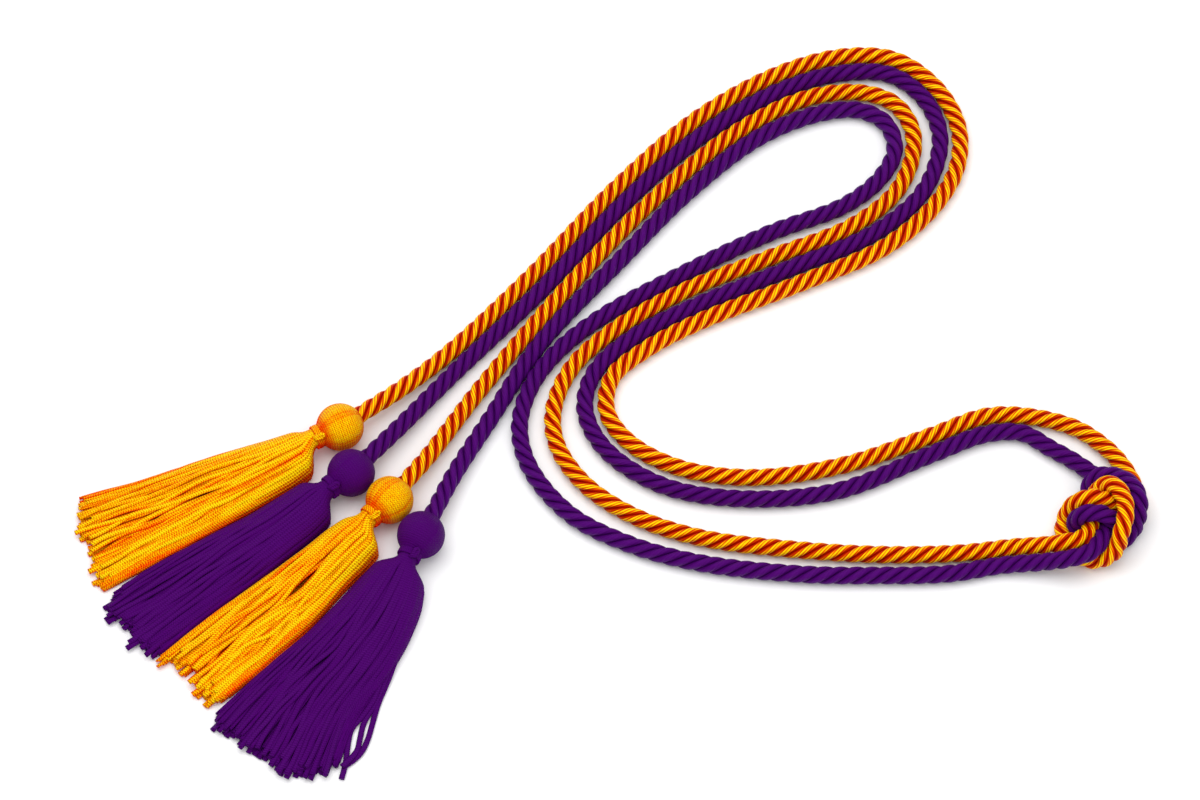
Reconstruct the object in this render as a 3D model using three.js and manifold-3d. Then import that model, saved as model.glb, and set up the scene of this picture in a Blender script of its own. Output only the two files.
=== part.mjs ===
// A double honor cord: a gold and a purple rope cord laid side by side and tied together by one
// overhand knot, with a ball-headed tassel at each of the four ends. It lies on a flat surface at z = 0.
// Millimetres, +Z up, +X along the longest side; the origin is on the surface, under the middle of the
// box that holds the whole cord.
import * as THREE from "three";
import { mergeVertices } from "three/addons/utils/BufferGeometryUtils.js";
import Module from "manifold-3d";

const wasm = await Module();
wasm.setup();

// Rope cords
const CORD_DIAMETER = 5.6; // a round rod, halfway between the crests and the grooves of the four plies
const CORD_SIDES = 8;
const CORD_STEP = 14; // length of one straight step where the cord runs free
const LEAST_STEPS = 2; // steps between two neighbouring points of a route

// Tassel heads
const BALL_DIAMETER = 18.5;
const BALL_SIDES = 14;
const BALL_RINGS = 7;
const NECK_FACE = 7.6; // distance from the ball's centre to its flattened back
const SOCKET_DEPTH = 4; // how far a cord's end goes into its ball
const SOCKET_SIDES = 12;
const CLEARANCE = 0.3; // gap between pieces that touch on the real cord

// Bindings and skirts
const BINDING_LENGTH = 3.5;
const BINDING_WALL = 1.4;
const NECK_SIDES = 12;
const STEM_DIAMETER = 7.4; // the strands drawn together inside the binding
const STEM_OVERLAP = 4; // how far the stem runs on inside the locks
const SKIRT_LENGTH = 93.5; // from the binding to the cut ends
const SKIRT_HALF_WIDTH = 20;
const SKIRT_HEIGHT = 12.5;
const SKIRT_GAP = 0.4; // kept free along each long edge, because the skirts lie side by side
const LOCK_LAP = 1.25; // a lock's width against its share of the skirt's width
const LOCK_EDGE = 0.45; // height of a lock's edge against its middle
const LOCK_ACROSS = 3; // faces over a lock's rounded top
const RAGGED = 0.03; // how much longer or shorter a lock's end is than the skirt
const RAGGED_TURN = 2.4; // radians from one lock to the next, for uneven ends
const BACKING_HEIGHT = 1.6;
const CROWN = 0.5; // how much lower the locks at the skirt's edges are than the middle ones

// Colours
const GOLD = new THREE.MeshStandardMaterial({ color: 0xf2a705, roughness: 0.55, metalness: 0 });
const PURPLE = new THREE.MeshStandardMaterial({ color: 0x4a0c6e, roughness: 0.6, metalness: 0 });

// The middle of the laid-out cord in the coordinates of the heads and routes below; the origin is put there.
const LAYOUT_MIDDLE = [3.1, -3.4];

const BALL_RADIUS = BALL_DIAMETER / 2;
const BINDING_START = NECK_FACE + CLEARANCE;
const SKIRT_START = BINDING_START + BINDING_LENGTH + CLEARANCE;

// Tassels. The head is its centre on the surface and the heading is the skirt's direction in degrees.
// A row of the sections is one cross-section of the skirt: its distance from the binding as a share of
// the skirt's length, its edges to the right and left of the heading as shares of the half width, and
// the heights of its top and underside as shares of the skirt's height. The corner is how much shorter
// the outermost locks are.
const TASSELS = [
  {
    number: 1,
    material: GOLD,
    head: [-99.5, -16.6],
    heading: -153.9,
    locks: 9,
    corner: 0.07,
    sections: [
      { along: 0, right: -0.16, left: 0.16, top: 1.0, underside: 0.5 },
      { along: 0.045, right: -0.33, left: 0.52, top: 1.04, underside: 0.16 },
      { along: 0.11, right: -0.39, left: 0.62, top: 0.98, underside: 0 },
      { along: 0.26, right: -0.54, left: 0.69, top: 0.8, underside: 0 },
      { along: 0.45, right: -0.66, left: 0.78, top: 0.6, underside: 0 },
      { along: 0.7, right: -0.84, left: 0.91, top: 0.44, underside: 0 },
      { along: 1, right: -1.07, left: 1.05, top: 0.3, underside: 0 },
    ],
  },
  {
    number: 2,
    material: PURPLE,
    head: [-94.9, -36.4],
    heading: -142.5,
    locks: 9,
    corner: 0.01,
    sections: [
      { along: 0, right: -0.16, left: 0.16, top: 1.0, underside: 0.5 },
      { along: 0.045, right: -0.42, left: 0.52, top: 1.04, underside: 0.16 },
      { along: 0.11, right: -0.54, left: 0.57, top: 0.98, underside: 0 },
      { along: 0.26, right: -0.6, left: 0.61, top: 0.8, underside: 0 },
      { along: 0.45, right: -0.7, left: 0.67, top: 0.6, underside: 0 },
      { along: 0.7, right: -0.75, left: 0.68, top: 0.44, underside: 0 },
      { along: 1, right: -0.81, left: 0.77, top: 0.3, underside: 0 },
    ],
  },
  {
    number: 3,
    material: GOLD,
    head: [-80.1, -48],
    heading: -135.3,
    locks: 9,
    corner: 0.01,
    sections: [
      { along: 0, right: -0.16, left: 0.16, top: 1.0, underside: 0.5 },
      { along: 0.045, right: -0.38, left: 0.59, top: 1.04, underside: 0.16 },
      { along: 0.11, right: -0.46, left: 0.71, top: 0.98, underside: 0 },
      { along: 0.26, right: -0.52, left: 0.78, top: 0.8, underside: 0 },
      { along: 0.45, right: -0.58, left: 0.82, top: 0.6, underside: 0 },
      { along: 0.7, right: -0.71, left: 0.86, top: 0.44, underside: 0 },
      { along: 1, right: -0.81, left: 0.73, top: 0.3, underside: 0 },
    ],
  },
  {
    number: 4,
    material: PURPLE,
    head: [-67.9, -62.9],
    heading: -116.5,
    locks: 11,
    corner: 0.1,
    sections: [
      { along: 0, right: -0.16, left: 0.16, top: 1.0, underside: 0.5 },
      { along: 0.045, right: -0.4, left: 0.41, top: 1.04, underside: 0.16 },
      { along: 0.11, right: -0.55, left: 0.57, top: 0.98, underside: 0 },
      { along: 0.26, right: -0.76, left: 0.79, top: 0.8, underside: 0 },
      { along: 0.45, right: -1.02, left: 0.83, top: 0.6, underside: 0 },
      { along: 0.7, right: -1.41, left: 0.81, top: 0.44, underside: 0 },
      { along: 1, right: -1.95, left: 0.92, top: 0.3, underside: 0 },
    ],
  },
];

// Cord routes, from just outside one head to just outside the other: points of the cord's middle line.
const GOLD_ROUTE = [
  [-76.9, 1.2, 6.3],
  [-57.9, 19.1, 3.45],
  [-27.2, 52.0, 3.45],
  [7.8, 93.6, 3.45],
  [38.9, 124.0, 3.45],
  [71.0, 144.1, 3.45],
  [96.8, 151.9, 3.45],
  [116.5, 150.3, 3.45],
  [132.0, 137.9, 3.45],
  [140.5, 120.5, 3.45],
  [140.0, 102.4, 3.45],
  [130.8, 84.4, 3.45],
  [110.9, 65.6, 3.45],
  [77.6, 49.4, 3.45],
  [38.7, 32.6, 3.45],
  [17.4, 20.0, 3.45],
  [4.6, 7.8, 3.45],
  [2.7, -7.1, 3.45],
  [11.5, -20.5, 3.45],
  [30.6, -31.3, 3.45],
  [57.3, -35.4, 3.45],
  [91.8, -30.4, 3.45],
  [126.5, -17.5, 3.45],
  [147.8, -9.0, 3.45],
  [163.2, -8.8, 3.45],
  // into the knot
  [182.2, -14.0, 3.45],
  [193.8, -22.7, 3.45],
  [199.1, -29.2, 3.45],
  [202.6, -35.7, 3.45],
  [204.4, -41.6, 3.6],
  [202.8, -47.9, 6.2],
  [198.4, -50.4, 9.8],
  [194.5, -50.3, 11.8],
  [190.5, -50.3, 14.5],
  [186.8, -50.4, 16.4],
  [183.3, -51.0, 15.6],
  [179.4, -51.3, 10.6],
  [176.9, -54.3, 4.8],
  [176.2, -60.6, 3.45],
  [179.8, -66.4, 3.45],
  [185.4, -70.4, 3.45],
  [190.9, -70.8, 5.0],
  [195.4, -69.3, 9.2],
  [197.2, -65.1, 14.6],
  [198.8, -59.7, 17.1],
  [199.0, -53.6, 17.4],
  [197.6, -49.1, 17.4],
  [195.4, -45.6, 16.6],
  [192.6, -43.9, 14.2],
  [190.2, -44.0, 11.4],
  [188.0, -47.0, 9.7],
  [186.6, -53.1, 9.8],
  [186.1, -59.4, 9.9],
  [183.6, -64.0, 9.9],
  [176.8, -66.2, 9.8],
  [168.9, -65.8, 6.5],
  // out of the knot
  [157.7, -65.1, 3.45],
  [136.7, -67.7, 3.45],
  [106.3, -68.3, 3.45],
  [72.2, -66.0, 3.45],
  [38.0, -61.1, 3.45],
  [13.3, -52.1, 3.45],
  [-5.7, -38.4, 3.45],
  [-16.5, -21.4, 3.45],
  [-17.9, -6.2, 3.45],
  [-11.2, 11.7, 3.45],
  [3.9, 27.5, 3.45],
  [31.0, 45.1, 3.45],
  [66.1, 60.9, 3.45],
  [97.4, 74.5, 3.45],
  [115.3, 89.8, 3.45],
  [122.5, 106.9, 3.45],
  [122.2, 119.6, 3.45],
  [115.3, 130.6, 3.45],
  [101.6, 135.4, 3.45],
  [80.7, 132.4, 3.45],
  [53.0, 116.7, 3.45],
  [19.5, 85.3, 3.45],
  [-15.5, 43.8, 3.45],
  [-46.2, 2.7, 3.45],
  [-65.0, -26.3, 5.5],
];
const PURPLE_ROUTE = [
  [-76.6, -14.8, 6.3],
  [-57.8, 8.2, 3.45],
  [-23.3, 45.8, 3.45],
  [11.7, 87.8, 3.45],
  [41.2, 116.7, 3.45],
  [72.9, 137.0, 3.45],
  [96.7, 144.3, 3.45],
  [114.4, 143.4, 3.45],
  [127.2, 132.9, 3.45],
  [133.1, 118.3, 3.45],
  [132.2, 104.7, 3.45],
  [124.6, 88.0, 3.45],
  [105.9, 71.2, 3.45],
  [73.8, 56.0, 3.45],
  [34.8, 38.3, 3.45],
  [12.0, 24.9, 3.45],
  [-2.3, 9.9, 3.45],
  [-5.8, -6.2, 3.45],
  [1.9, -23.1, 3.45],
  [22.9, -38.4, 3.45],
  [51.5, -44.4, 3.45],
  [89.7, -41.4, 3.45],
  [126.3, -25.7, 3.45],
  [147.6, -16.8, 3.45],
  [161.8, -16.2, 3.45],
  // into the knot
  [172.3, -22.7, 3.45],
  [180.4, -27.8, 3.45],
  [187.1, -32.9, 3.45],
  [192.1, -37.0, 3.45],
  [195.6, -41.5, 3.45],
  [196.6, -46.5, 3.45],
  [197.0, -51.0, 3.6],
  [197.1, -56.9, 8.0],
  [194.8, -58.4, 12.8],
  [190.6, -57.4, 16.0],
  [186.6, -57.1, 16.4],
  [183.1, -57.2, 15.2],
  [180.4, -57.7, 9.2],
  [183.2, -60.5, 4.2],
  [186.4, -63.5, 3.45],
  [191.6, -64.8, 3.45],
  [198.0, -62.8, 3.45],
  [202.9, -58.0, 5.0],
  [204.7, -54.3, 9.6],
  [204.8, -49.5, 12.8],
  [202.5, -43.2, 12.0],
  [197.6, -38.9, 10.6],
  [191.7, -37.8, 10.2],
  [187.6, -39.1, 7.6],
  [185.9, -43.2, 4.0],
  [185.4, -48.3, 3.45],
  [188.0, -53.2, 3.45],
  [191.1, -57.1, 5.0],
  [190.7, -64.2, 10.2],
  [185.7, -70.9, 11.0],
  [176.9, -73.5, 10.0],
  [168.7, -73.0, 6.5],
  // out of the knot
  [151.8, -73.0, 3.45],
  [132.7, -76.4, 3.45],
  [106.2, -77.2, 3.45],
  [75.8, -76.6, 3.45],
  [38.0, -71.9, 3.45],
  [11.4, -64.0, 3.45],
  [-11.4, -51.2, 3.45],
  [-26.8, -31.3, 3.45],
  [-30.9, -14.0, 3.45],
  [-26.9, 3.4, 3.45],
  [-17.0, 18.7, 3.45],
  [0.0, 34.1, 3.45],
  [31.1, 53.1, 3.45],
  [66.2, 71.8, 3.45],
  [95.7, 84.4, 3.45],
  [109.6, 96.5, 3.45],
  [115.5, 109.2, 3.45],
  [112.4, 121.0, 3.45],
  [102.3, 127.1, 3.45],
  [86.5, 125.8, 3.45],
  [62.8, 115.1, 3.45],
  [35.2, 91.1, 3.45],
  [7.8, 59.8, 3.45],
  [-23.2, 22.7, 3.45],
  [-42.2, -10.1, 3.45],
  [-55.4, -34.5, 5.5],
];

const CORDS = [
  { name: "gold_cord", material: GOLD, from: TASSELS[0], to: TASSELS[2], route: GOLD_ROUTE },
  { name: "purple_cord", material: PURPLE, from: TASSELS[1], to: TASSELS[3], route: PURPLE_ROUTE },
];

// A curve walked at even steps between chosen stations, short where the route's points lie close together.
class StationCurve extends THREE.Curve {
  constructor(points) {
    super();
    this.smooth = new THREE.CatmullRomCurve3(points);
    const intervals = points.length - 1;
    this.stations = [0];
    points.slice(1).forEach((point, i) => {
      const steps = Math.max(LEAST_STEPS, Math.round(point.distanceTo(points[i]) / CORD_STEP));
      for (let k = 1; k <= steps; k += 1) this.stations.push((i + k / steps) / intervals);
    });
  }

  getPoint(t) {
    const place = t * (this.stations.length - 1);
    const i = Math.min(Math.floor(place), this.stations.length - 2);
    const share = THREE.MathUtils.lerp(this.stations[i], this.stations[i + 1], place - i);
    return this.smooth.getPoint(Math.min(share, 1));
  }

  getUtoTmapping(u) {
    return u;
  }
}

function solid(geometry) {
  const bare = geometry.index ? geometry.toNonIndexed() : geometry.clone();
  bare.deleteAttribute("normal");
  bare.deleteAttribute("uv");
  const merged = mergeVertices(bare, 1e-4);
  const mesh = new wasm.Mesh({
    numProp: 3,
    vertProperties: new Float32Array(merged.attributes.position.array),
    triVerts: new Uint32Array(merged.index.array),
  });
  return new wasm.Manifold(mesh);
}

function geometryOf(body) {
  const mesh = body.getMesh();
  const geometry = new THREE.BufferGeometry();
  geometry.setAttribute("position", new THREE.BufferAttribute(new Float32Array(mesh.vertProperties), 3));
  geometry.setIndex(new THREE.BufferAttribute(new Uint32Array(mesh.triVerts), 1));
  geometry.computeVertexNormals();
  return geometry;
}

function named(name, geometry, material) {
  const mesh = new THREE.Mesh(geometry, material);
  mesh.name = name;
  return mesh;
}

function headCentre(tassel) {
  return new THREE.Vector3(tassel.head[0], tassel.head[1], BALL_RADIUS);
}

// The direction in which a cord leaves a head, towards its nearest route point.
function exitDirection(tassel) {
  const cord = CORDS.find((c) => c.from === tassel || c.to === tassel);
  const nearest = cord.from === tassel ? cord.route[0] : cord.route[cord.route.length - 1];
  return new THREE.Vector3(...nearest).sub(headCentre(tassel)).normalize();
}

// A cord's first two points at a head: its end at the bottom of the socket and a place just outside the ball.
function endPoints(tassel) {
  const inside = BALL_RADIUS - SOCKET_DEPTH + CLEARANCE;
  const outside = BALL_RADIUS + CORD_DIAMETER / 2;
  return [inside, outside].map((reach) => headCentre(tassel).addScaledVector(exitDirection(tassel), reach));
}

function cord({ name, material, from, to, route }) {
  const middle = route.map((point) => new THREE.Vector3(...point));
  const path = new StationCurve([...endPoints(from), ...middle, ...endPoints(to).reverse()]);
  const corners = Array.from({ length: CORD_SIDES }, (_, i) => {
    const angle = (i / CORD_SIDES) * 2 * Math.PI;
    return new THREE.Vector2(Math.cos(angle), Math.sin(angle)).multiplyScalar(CORD_DIAMETER / 2);
  });
  const steps = path.stations.length - 1;
  const tube = new THREE.ExtrudeGeometry(new THREE.Shape(corners), { steps, extrudePath: path });
  return named(name, geometryOf(solid(tube)), material);
}

// The ball: round, with a flattened back at the neck and a socket for the cord, along the heading's own axes.
function head(tassel) {
  const backAngle = Math.asin(NECK_FACE / BALL_RADIUS);
  const profile = [new THREE.Vector2(0, -BALL_RADIUS)];
  for (let i = 1; i <= BALL_RINGS; i += 1) {
    const angle = THREE.MathUtils.lerp(-Math.PI / 2, backAngle, i / BALL_RINGS);
    profile.push(new THREE.Vector2(Math.cos(angle), Math.sin(angle)).multiplyScalar(BALL_RADIUS));
  }
  profile.push(new THREE.Vector2(0, NECK_FACE));
  const ball = new THREE.LatheGeometry(profile, BALL_SIDES);
  ball.rotateZ(-Math.PI / 2);

  const radius = (CORD_DIAMETER / 2 + CLEARANCE) / Math.cos(Math.PI / SOCKET_SIDES);
  const socket = new THREE.CylinderGeometry(radius, radius, BALL_RADIUS, SOCKET_SIDES);
  socket.translate(0, BALL_RADIUS * 1.5 - SOCKET_DEPTH, 0);
  const turn = -THREE.MathUtils.degToRad(tassel.heading);
  const exit = exitDirection(tassel).applyAxisAngle(new THREE.Vector3(0, 0, 1), turn);
  socket.applyQuaternion(new THREE.Quaternion().setFromUnitVectors(new THREE.Vector3(0, 1, 0), exit));

  const body = solid(ball).subtract(solid(socket));
  const mesh = named(`head_${tassel.number}`, geometryOf(body), tassel.material);
  mesh.position.z = BALL_RADIUS;
  return mesh;
}

// The wrap of strand round the neck: a ring that the stem goes through.
function binding(tassel) {
  const inner = STEM_DIAMETER / 2 + CLEARANCE;
  const outer = inner + BINDING_WALL;
  const soft = BINDING_WALL / 2;
  const profile = [
    [inner, 0],
    [outer - soft, 0],
    [outer, soft],
    [outer, BINDING_LENGTH - soft],
    [outer - soft, BINDING_LENGTH],
    [inner, BINDING_LENGTH],
    [inner, 0],
  ].map(([x, y]) => new THREE.Vector2(x, y));
  const ring = new THREE.LatheGeometry(profile, NECK_SIDES);
  ring.rotateZ(-Math.PI / 2);
  const mesh = named(`binding_${tassel.number}`, geometryOf(solid(ring)), tassel.material);
  mesh.position.set(BINDING_START, 0, BALL_RADIUS);
  return mesh;
}

// The rows of a skirt's sections up to a strip's own end, whose last row lies between two of the table's.
function rowsUpTo(rows, end) {
  const last = rows[rows.length - 1];
  const before = rows[rows.length - 2];
  const share = (end - before.along) / (last.along - before.along);
  const between = (column) => THREE.MathUtils.lerp(before[column], last[column], share);
  const columns = Object.keys(last).map((column) => [column, between(column)]);
  return [...rows.slice(0, -1), Object.fromEntries(columns)];
}

// A strip that follows the skirt's sections over a share of its width, flat underneath.
function strip(rows, { centre, halfShare, across, topAt }) {
  const box = new THREE.BoxGeometry(1, 1, 1, rows.length - 1, across, 1);
  const place = box.attributes.position;
  for (let i = 0; i < place.count; i += 1) {
    const row = rows[Math.round((place.getX(i) + 0.5) * (rows.length - 1))];
    const side = place.getY(i) * 2;
    const right = row.right * SKIRT_HALF_WIDTH + SKIRT_GAP;
    const left = row.left * SKIRT_HALF_WIDTH - SKIRT_GAP;
    const share = THREE.MathUtils.clamp(centre + side * halfShare, -1, 1);
    const y = THREE.MathUtils.mapLinear(share, -1, 1, right, left);
    const underside = row.underside * SKIRT_HEIGHT;
    const z = place.getZ(i) > 0 ? underside + topAt(row, side) : underside;
    place.setXYZ(i, SKIRT_START + row.along * SKIRT_LENGTH, y, z);
  }
  return solid(box);
}

// The skirt: locks side by side on a thin backing, and the stem that goes through the binding to the ball.
function skirt(tassel) {
  const rows = tassel.sections;
  const stemLength = SKIRT_START - BINDING_START + STEM_OVERLAP;
  const stem = new THREE.CylinderGeometry(STEM_DIAMETER / 2, STEM_DIAMETER / 2, stemLength, NECK_SIDES);
  stem.rotateZ(-Math.PI / 2);
  stem.translate(BINDING_START + stemLength / 2, 0, BALL_RADIUS);

  const onSurface = rows.filter((row) => row.underside === 0);
  const backingRows = rowsUpTo(onSurface, 1 - 2 * RAGGED - tassel.corner);
  const backing = { centre: 0, halfShare: 0.9, across: 2, topAt: () => BACKING_HEIGHT };
  let body = solid(stem).add(strip(backingRows, backing));
  for (let i = 0; i < tassel.locks; i += 1) {
    const centre = ((i + 0.5) / tassel.locks) * 2 - 1;
    const round = 1 - CROWN * centre ** 2;
    const topAt = (row, side) => {
      const full = (row.top - row.underside) * SKIRT_HEIGHT * round;
      return full * (1 - (1 - LOCK_EDGE) * side ** 2);
    };
    const end = 1 + RAGGED * Math.sin(i * RAGGED_TURN + tassel.number) - tassel.corner * centre ** 4;
    const lock = { centre, halfShare: LOCK_LAP / tassel.locks, across: LOCK_ACROSS, topAt };
    body = body.add(strip(rowsUpTo(rows, end), lock));
  }
  return named(`skirt_${tassel.number}`, geometryOf(body), tassel.material);
}

const honorCord = new THREE.Group();
honorCord.position.set(-LAYOUT_MIDDLE[0], -LAYOUT_MIDDLE[1], 0);
CORDS.forEach((each) => honorCord.add(cord(each)));
TASSELS.forEach((tassel) => {
  const group = new THREE.Group();
  group.position.set(tassel.head[0], tassel.head[1], 0);
  group.rotation.z = THREE.MathUtils.degToRad(tassel.heading);
  group.add(head(tassel), binding(tassel), skirt(tassel));
  honorCord.add(group);
});

export default honorCord;
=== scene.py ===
"""A double honor cord lying on a pale floor: two twisted rope cords, one knot and four tassels, in metres."""
import math

import bmesh
import bpy
import numpy as np
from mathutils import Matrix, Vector


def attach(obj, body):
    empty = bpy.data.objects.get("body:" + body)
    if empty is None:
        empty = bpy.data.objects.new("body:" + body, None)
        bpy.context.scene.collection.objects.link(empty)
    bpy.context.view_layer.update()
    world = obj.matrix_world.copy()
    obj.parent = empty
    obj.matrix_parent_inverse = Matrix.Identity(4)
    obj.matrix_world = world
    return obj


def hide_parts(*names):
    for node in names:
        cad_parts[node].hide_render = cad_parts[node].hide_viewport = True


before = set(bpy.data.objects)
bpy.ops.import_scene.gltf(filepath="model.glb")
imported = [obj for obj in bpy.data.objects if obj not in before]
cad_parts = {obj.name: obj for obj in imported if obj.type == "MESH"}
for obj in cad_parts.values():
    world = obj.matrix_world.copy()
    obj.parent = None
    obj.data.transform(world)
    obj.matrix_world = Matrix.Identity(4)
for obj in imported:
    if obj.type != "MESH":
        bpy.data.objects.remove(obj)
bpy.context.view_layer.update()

# Camera, at the photo's viewing angle
ELEVATION = math.radians(62)
DISTANCE = 2.6
SENSOR_MM = 36
VIEW_WIDTH = 0.462
LOOK_AT = Vector((-0.0031, 0.0034, 0))

# What the routes and tassels below are measured from
LAYOUT_MIDDLE = np.array((0.0031, -0.0034, 0))

# Rope cords
PLIES = 4
LAY = 0.0236
LAY_IN_KNOT = 0.02
KNOT_MIDDLE = np.array((0.188, -0.056, 0.01))
KNOT_REACH = 0.045
PLY_RADIUS = 0.00138
PLY_OFFSET = 0.00207
PLY_FLATTENING = 1.05
CREST_DIAMETER = 0.0069
ROPE_STEP = 0.001
PLY_CORNERS = 12
PLY_THREADS = 8
PLY_FIBRES = 32

# Heads
BALL_RADIUS = 0.00925
NECK_FACE = 0.0076
SOCKET_DEPTH = 0.004
CLEARANCE = 0.0003
CORD_ROD_DIAMETER = 0.0056
BALL_STRANDS = 32
BALL_RINGS = 20
GROOVE = 0.0003
# Passes of grooves: share of the full depth, share of the grooves that get it
GROOVES = ((0.4, 1), (0.6, 0.25))
# The grooves stop short of the poles
GROOVED_SHARE = 0.98
# The ring of the sphere that becomes the neck
NECK_RING = 2
# Cosines between which a ball's strands gather towards the neck and towards the cord's hole, and between which
# the light from above reaches round its sides
AT_NECK = (0.45, 0.85)
AT_HOLE = (0.8, 0.97)
BALL_SIDES = (-0.5, 0.5)
# Painted light and shade of a ball: how light it is in its grooves, how much lighter on its crests, how light
# underneath, and how much painted shade darkens it where its strands gather
GROOVE_LIGHT = 0.52
CREST_LIGHT = 0.6
UNDERSIDE_LIGHT = 0.6
GATHERED_SHADE = 0.5

# Bindings and skirts
BINDING_LENGTH = 0.0035
NECK_RADIUS = 0.0039
WRAP_TURNS = 3
WRAP_WIDTH = 0.0013
WRAP_FLATNESS = 0.75
WRAP_CREVICE = 0.9
# Openness to light of the wraps and of the bight that lies over them
WRAP_OPENNESS = (0.85, 1.05)
BINDING_START = NECK_FACE + CLEARANCE
SKIRT_START = BINDING_START + BINDING_LENGTH + CLEARANCE
SKIRT_LENGTH = 0.0935
SKIRT_HALF_WIDTH = 0.020
SKIRT_HEIGHT = 0.0125
STRAND_WIDTH = 0.0022
STRAND_HEIGHT = 0.001
STRAND_RINGS = 56
STRAND_CORNERS = 8
STRAND_SINK = STRAND_HEIGHT * 0.35
STRAY_STEP = 0.0002
BIGHT_STEP = 0.00005
STITCH_MM = 1.0
STITCH_COLUMNS = 6
SEED = 11

# A skirt's sections: the columns of edges, then the height of its top and underside at each of its rows
COLUMNS = ("along", "right", "left", "top", "underside")
PROFILE = ((1.0, 0.5), (1.04, 0.16), (0.98, 0), (0.8, 0), (0.6, 0), (0.44, 0), (0.3, 0))
# Each tassel: its ball's centre, its heading in degrees, the strands in its outside layer, its strands' waver,
# its edges as shares of length and half width, and its cut line as shares of half width and length
TASSELS = (
    dict(number=1, colour="gold", head=(-0.0995, -0.0166), heading=-153.9, strands=22, waver=1.2,
         edges=((0, -0.22, 0.36), (0.045, -0.36, 0.58), (0.11, -0.44, 0.67), (0.26, -0.58, 0.77),
                (0.45, -0.72, 0.84), (0.7, -0.86, 0.93), (1, -1.07, 1.05)),
         ends=((-1.05, 0.94), (-0.7, 1), (-0.3, 1.015), (0.15, 1.02), (0.5, 1.035), (1, 1.045))),
    dict(number=2, colour="purple", head=(-0.0949, -0.0364), heading=-142.5, strands=21, waver=0.75,
         edges=((0, -0.28, 0.34), (0.045, -0.46, 0.5), (0.11, -0.52, 0.58), (0.26, -0.59, 0.63),
                (0.45, -0.72, 0.68), (0.7, -0.86, 0.7), (1, -0.96, 0.8)),
         ends=((-0.9, 0.93), (-0.7, 1.01), (-0.35, 1.02), (-0.05, 1), (0.5, 1), (0.7, 0.98))),
    dict(number=3, colour="gold", head=(-0.0801, -0.048), heading=-135.3, strands=21, waver=1.2,
         edges=((0, -0.22, 0.36), (0.045, -0.38, 0.6), (0.11, -0.47, 0.66), (0.26, -0.53, 0.71),
                (0.45, -0.64, 0.8), (0.7, -0.78, 0.8), (1, -0.86, 0.77)),
         ends=((-0.8, 1.014), (-0.63, 0.986), (-0.28, 0.975), (0.1, 0.996), (0.65, 1.004), (0.75, 0.95))),
    dict(number=4, colour="purple", head=(-0.0679, -0.0629), heading=-116.5, strands=31, waver=0.9,
         edges=((0, -0.3, 0.3), (0.045, -0.54, 0.5), (0.11, -0.67, 0.63), (0.26, -0.86, 0.76),
                (0.45, -1.12, 0.76), (0.7, -1.54, 0.64), (1, -1.99, 0.86)),
         ends=((-1.9, 0.94), (-1.66, 1.0), (-1.5, 0.965), (-1.35, 1.015), (-1.2, 0.955), (-1.08, 1.015),
               (-0.7, 1.02), (-0.3, 1.035), (0.35, 1.02), (0.6, 0.955), (0.9, 0.92))),
)
# Strands that lie by themselves beside tassel 4: share of its length, of its half width, and height
STRAYS = (
    ((0.25, 0.66, 0.0035), (0.4, 0.7, 0.0022), (0.477, 0.745, 0.0012), (0.587, 0.8, 0.0007), (0.662, 0.875, 0.0007),
     (0.75, 0.965, 0.0007), (0.807, 0.98, 0.0007), (0.85, 0.93, 0.0007), (0.895, 0.83, 0.0007)),
    ((0.3, 0.6, 0.004), (0.45, 0.68, 0.0022), (0.54, 0.735, 0.0014), (0.61, 0.747, 0.0009), (0.693, 0.745, 0.0007),
     (0.765, 0.835, 0.0007), (0.808, 0.89, 0.0009), (0.861, 0.865, 0.0019), (0.905, 0.8, 0.002)),
    ((0.3, 0.52, 0.004), (0.45, 0.6, 0.003), (0.58, 0.69, 0.0018), (0.66, 0.66, 0.0012), (0.74, 0.6, 0.0009),
     (0.82, 0.71, 0.0009), (0.88, 0.82, 0.0009), (0.95, 0.9, 0.0007)),
)
# Layers of strands: steps below the outside, share of the outside's number, openness to light.
# The last layer lies on the floor.
LAYERS = ((0, 1.0, 1.0), (0.5, 1.0, 0.95), (1.1, 0.9, 0.85), (1.9, 0.7, 0.72), (0, 1.0, 0.68))
LAYER_STEP = 0.0009
PARTED_LAYERS = 2
LAYER_PHASE = 0.37
FLOOR_SWAY = 0.2
# Waves that neighbouring strands share: number along, number across, size
SWAYS = ((1.1, 1.0, 0.0006), (1.7, -1.6, 0.0005), (2.6, 2.4, 0.0003))
# Waves of single strands, across, upwards and in shade: number along, size
WAVERS = ((0.7, 0.0008), (1.5, 0.0006), (3.2, 0.00028), (6, 0.0001))
RISES = ((1.2, 0.00025), (3, 0.0002), (7, 0.00008))
TONES = ((1.3, 0.05), (3.1, 0.04))
# Shares of a skirt's length over which its strands come free to waver, leave the round neck and reach the light
FREE = (0.02, 0.5)
NECK_OPENS = (-0.01, 0.07)
TIPS = (0.85, 0.97)
# Share of its width that a strand has in the neck, and how fast it swells below
NECK_THINNESS = 0.6
SWELLING = 4
# How far round the neck the upper layers and the layer on the floor spread
UPPER_SPREAD = 1.5
FLOOR_SPREAD = 0.7
# How much less the outermost strands waver, and how far they lean outwards
EDGE_CALM = 0.9
EDGE_LEAN = 0.6
# How a strand is shaded round its section: from facing sideways to facing up, and at its two sides
FACING = (-0.1, 0.8)
SIDE_SHADE = 0.45
# Painted light that reaches the cut ends, and how much painted shade darkens each long edge of a skirt
TIP_OPENNESS = 0.9
LEFT_EDGE_SHADE = 0.4
RIGHT_EDGE_SHADE = 0.12
EDGE_SHARE = 0.86
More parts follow.
